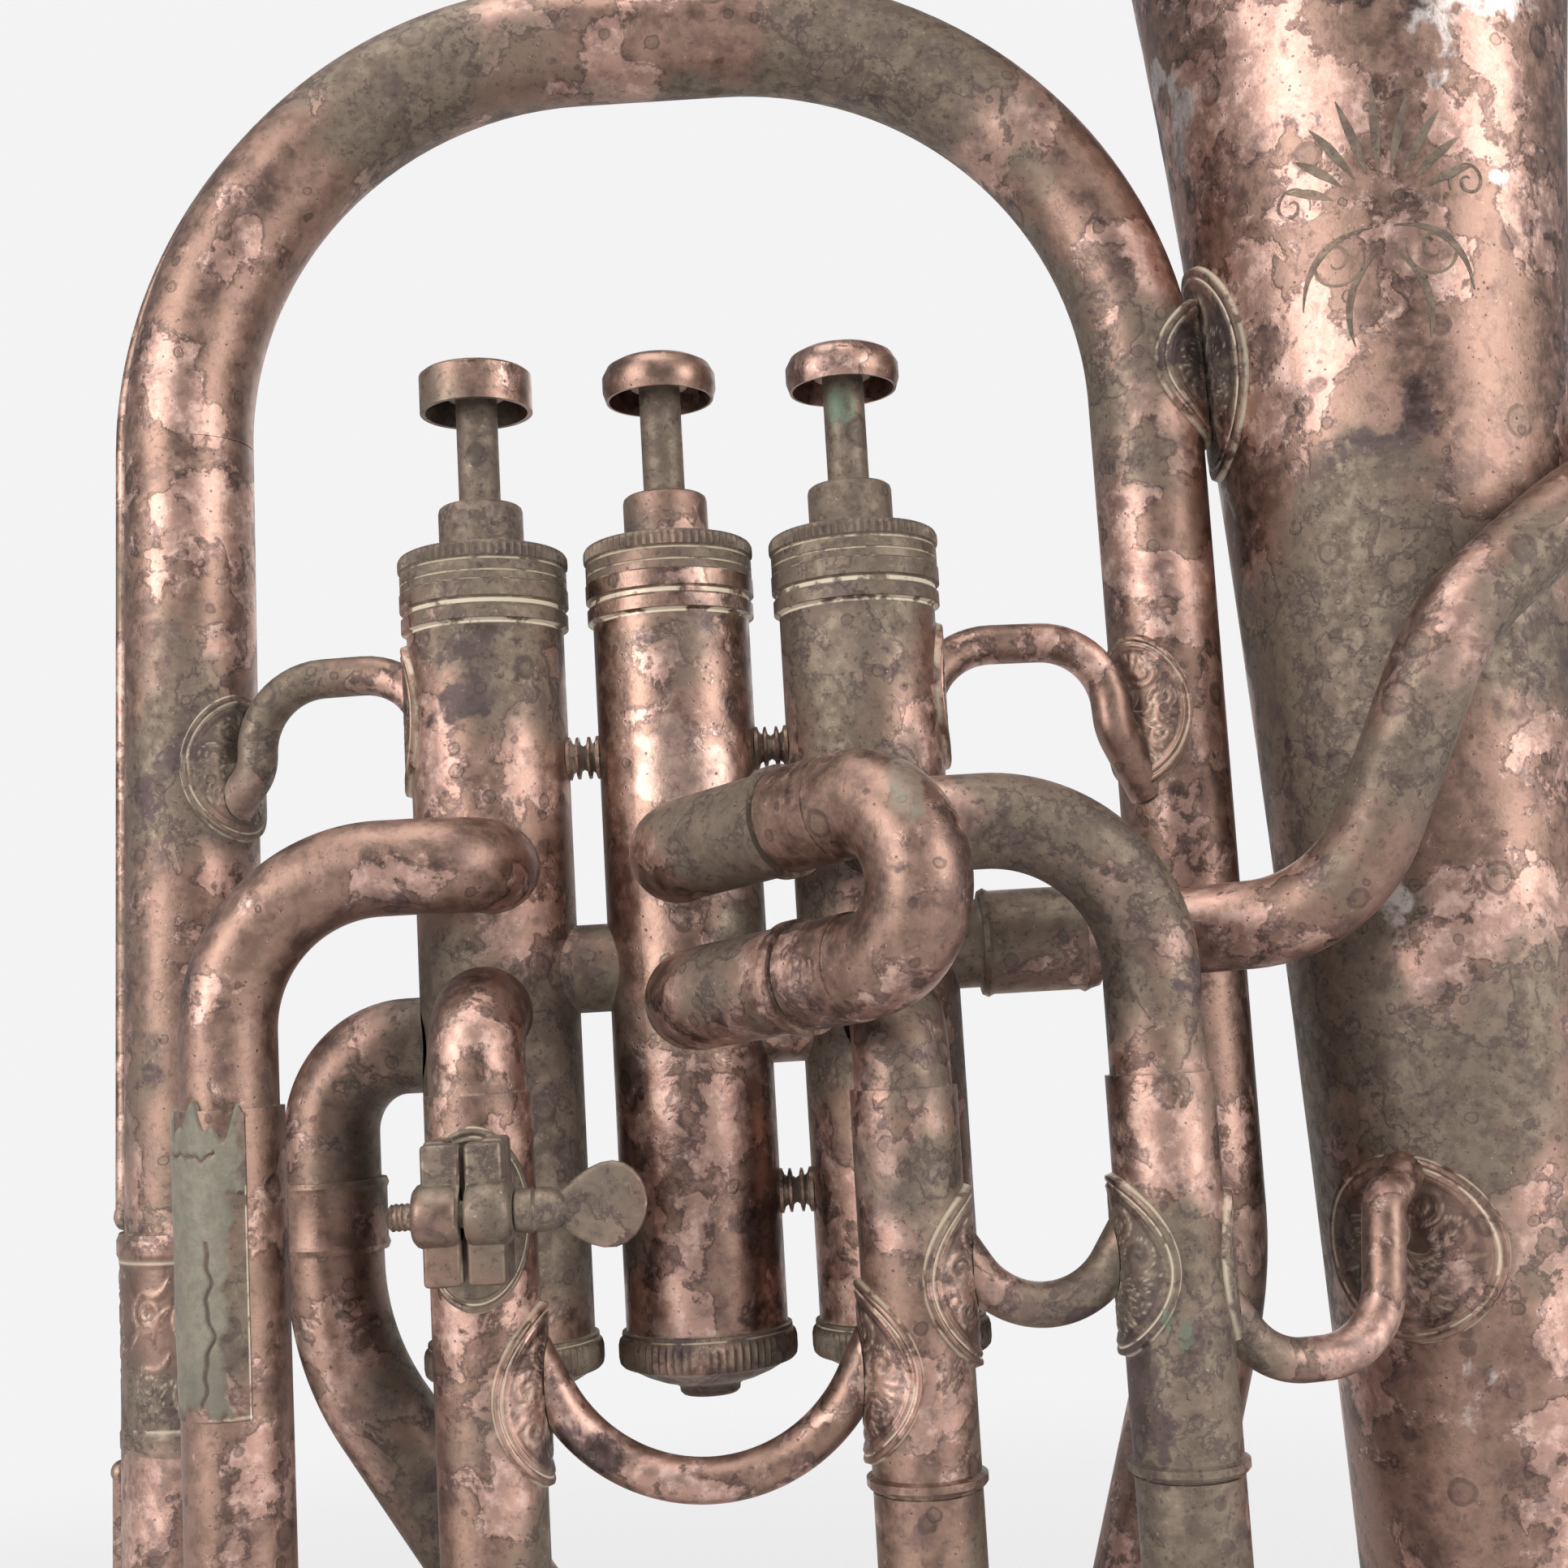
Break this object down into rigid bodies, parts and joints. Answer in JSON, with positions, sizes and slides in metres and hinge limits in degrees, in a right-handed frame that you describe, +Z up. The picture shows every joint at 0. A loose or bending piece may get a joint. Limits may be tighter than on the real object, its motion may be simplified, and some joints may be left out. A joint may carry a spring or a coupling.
{
  "type": "baritone horn",
  "caption": "Upright baritone horn with piston valves, bell up, pull slides in front, a lyre clamp and a curved leadpipe that ends behind the bell.",
  "frame": {"origin": "centre of the horn's bounding box in plan, at the lowest point of the bottom bow's guard", "axes": "+Z up the bell's axis towards its rim, -Y towards the side with the valve slides, +X towards the bell"},
  "size_m": [0.3294, 0.23, 0.6173],
  "materials": {
    "horn_metal": "tarnished silver plate over brass, mottled pink, brown and grey",
    "bell_metal": "tarnished silver plate over brass, brighter towards the rim",
    "valve_metal": "tarnished plate with pale residue in the grooves",
    "piston_metal": "lapped nickel plate, lightly oiled",
    "button_metal": "worn plate, darker underneath",
    "fittings_metal": "dark tarnished brass",
    "spring_wire": "drawn spring wire",
    "felt": "pressed felt",
    "cork": "fine cork"
  },
  "bodies": {
    "horn": {"arch_braces": "horn_metal", "bell": "bell_metal", "bell_brace": "horn_metal", "bell_ferrule": "horn_metal", "bell_leg_leaves": "horn_metal", "bell_rim_wire": "bell_metal", "bottom_bow": "horn_metal", "bottom_caps": "valve_metal", "brace_flanges": "horn_metal", "exit_branch": "horn_metal", "exit_elbow": "horn_metal", "exit_ferrule": "horn_metal", "first_slide_elbow": "horn_metal", "first_slide_outer_legs": "horn_metal", "first_slide_upper_branch": "horn_metal", "garland_ferrule": "horn_metal", "guard_rails": "horn_metal", "leadpipe": "horn_metal", "leadpipe_brace": "horn_metal", "leadpipe_coupling": "horn_metal", "left_leg": "horn_metal", "lyre_clamp": "fittings_metal", "main_slide_outer_legs": "horn_metal", "mouthpiece_receiver": "horn_metal", "right_leg": "horn_metal", "second_slide_outer_legs": "horn_metal", "slide_braces": "horn_metal", "third_slide_elbow": "horn_metal", "third_slide_outer_legs": "horn_metal", "third_slide_upper_branch": "horn_metal", "top_bow": "horn_metal", "top_cap_1": "valve_metal", "top_cap_2": "valve_metal", "top_cap_3": "valve_metal", "transfer_tubes": "valve_metal", "valve_casing_1": "valve_metal", "valve_casing_2": "valve_metal", "valve_casing_3": "valve_metal", "valve_felts": "felt", "valve_spacer_bars": "valve_metal", "valve_spring_1": "spring_wire", "valve_spring_2": "spring_wire", "valve_spring_3": "spring_wire"},
    "valve_1": {"piston_1": "piston_metal", "valve_stem_1": "button_metal", "finger_button_1": "button_metal"},
    "valve_2": {"piston_2": "piston_metal", "valve_stem_2": "button_metal", "finger_button_2": "button_metal"},
    "valve_3": {"piston_3": "piston_metal", "valve_stem_3": "button_metal", "finger_button_3": "button_metal"},
    "first_slide": {"first_slide_crook": "horn_metal"},
    "second_slide": {"second_slide_crook": "horn_metal"},
    "third_slide": {"third_slide_crook": "horn_metal"},
    "main_slide": {"main_slide_crook": "horn_metal", "water_key_saddle": "fittings_metal"},
    "water_key": {"water_key_lever": "fittings_metal", "water_key_pad": "cork"},
    "thumbscrew": {"lyre_thumbscrew": "fittings_metal"}
  },
  "joints": [
    {"name": "valve_1_press", "type": "slide", "parent": "horn", "child": "valve_1", "axis": [0, 0, -1], "range_m": [0, 0.016], "stiffness_N_per_m": 150, "springref_m": -0.014, "deforming": ["valve_spring_1"]},
    {"name": "valve_2_press", "type": "slide", "parent": "horn", "child": "valve_2", "axis": [0, 0, -1], "range_m": [0, 0.016], "stiffness_N_per_m": 150, "springref_m": -0.014, "deforming": ["valve_spring_2"]},
    {"name": "valve_3_press", "type": "slide", "parent": "horn", "child": "valve_3", "axis": [0, 0, -1], "range_m": [0, 0.016], "stiffness_N_per_m": 150, "springref_m": -0.014, "deforming": ["valve_spring_3"]},
    {"name": "first_slide_pull", "type": "slide", "parent": "horn", "child": "first_slide", "axis": [0, 0, -1], "range_m": [0, 0.035]},
    {"name": "second_slide_pull", "type": "slide", "parent": "horn", "child": "second_slide", "axis": [0.7044, -0.7044, 0.0872], "range_m": [0, 0.008]},
    {"name": "third_slide_pull", "type": "slide", "parent": "horn", "child": "third_slide", "axis": [0, 0, -1], "range_m": [0, 0.018]},
    {"name": "main_slide_pull", "type": "slide", "parent": "horn", "child": "main_slide", "axis": [0, 0, -1], "range_m": [0, 0.016]},
    {"name": "water_key_press", "type": "hinge", "parent": "main_slide", "child": "water_key", "pos_m": [-0.04568, -0.02, 0.05983], "axis": [-1, 0, 0], "range_deg": [0, 12], "stiffness_Nm_per_rad": 0.05, "springref_deg": -22.92},
    {"name": "lyre_screw_turn", "type": "hinge", "parent": "horn", "child": "thumbscrew", "pos_m": [-0.09788, -0.0539, 0.24833], "axis": [1, 0, 0], "continuous": true}
  ]
}
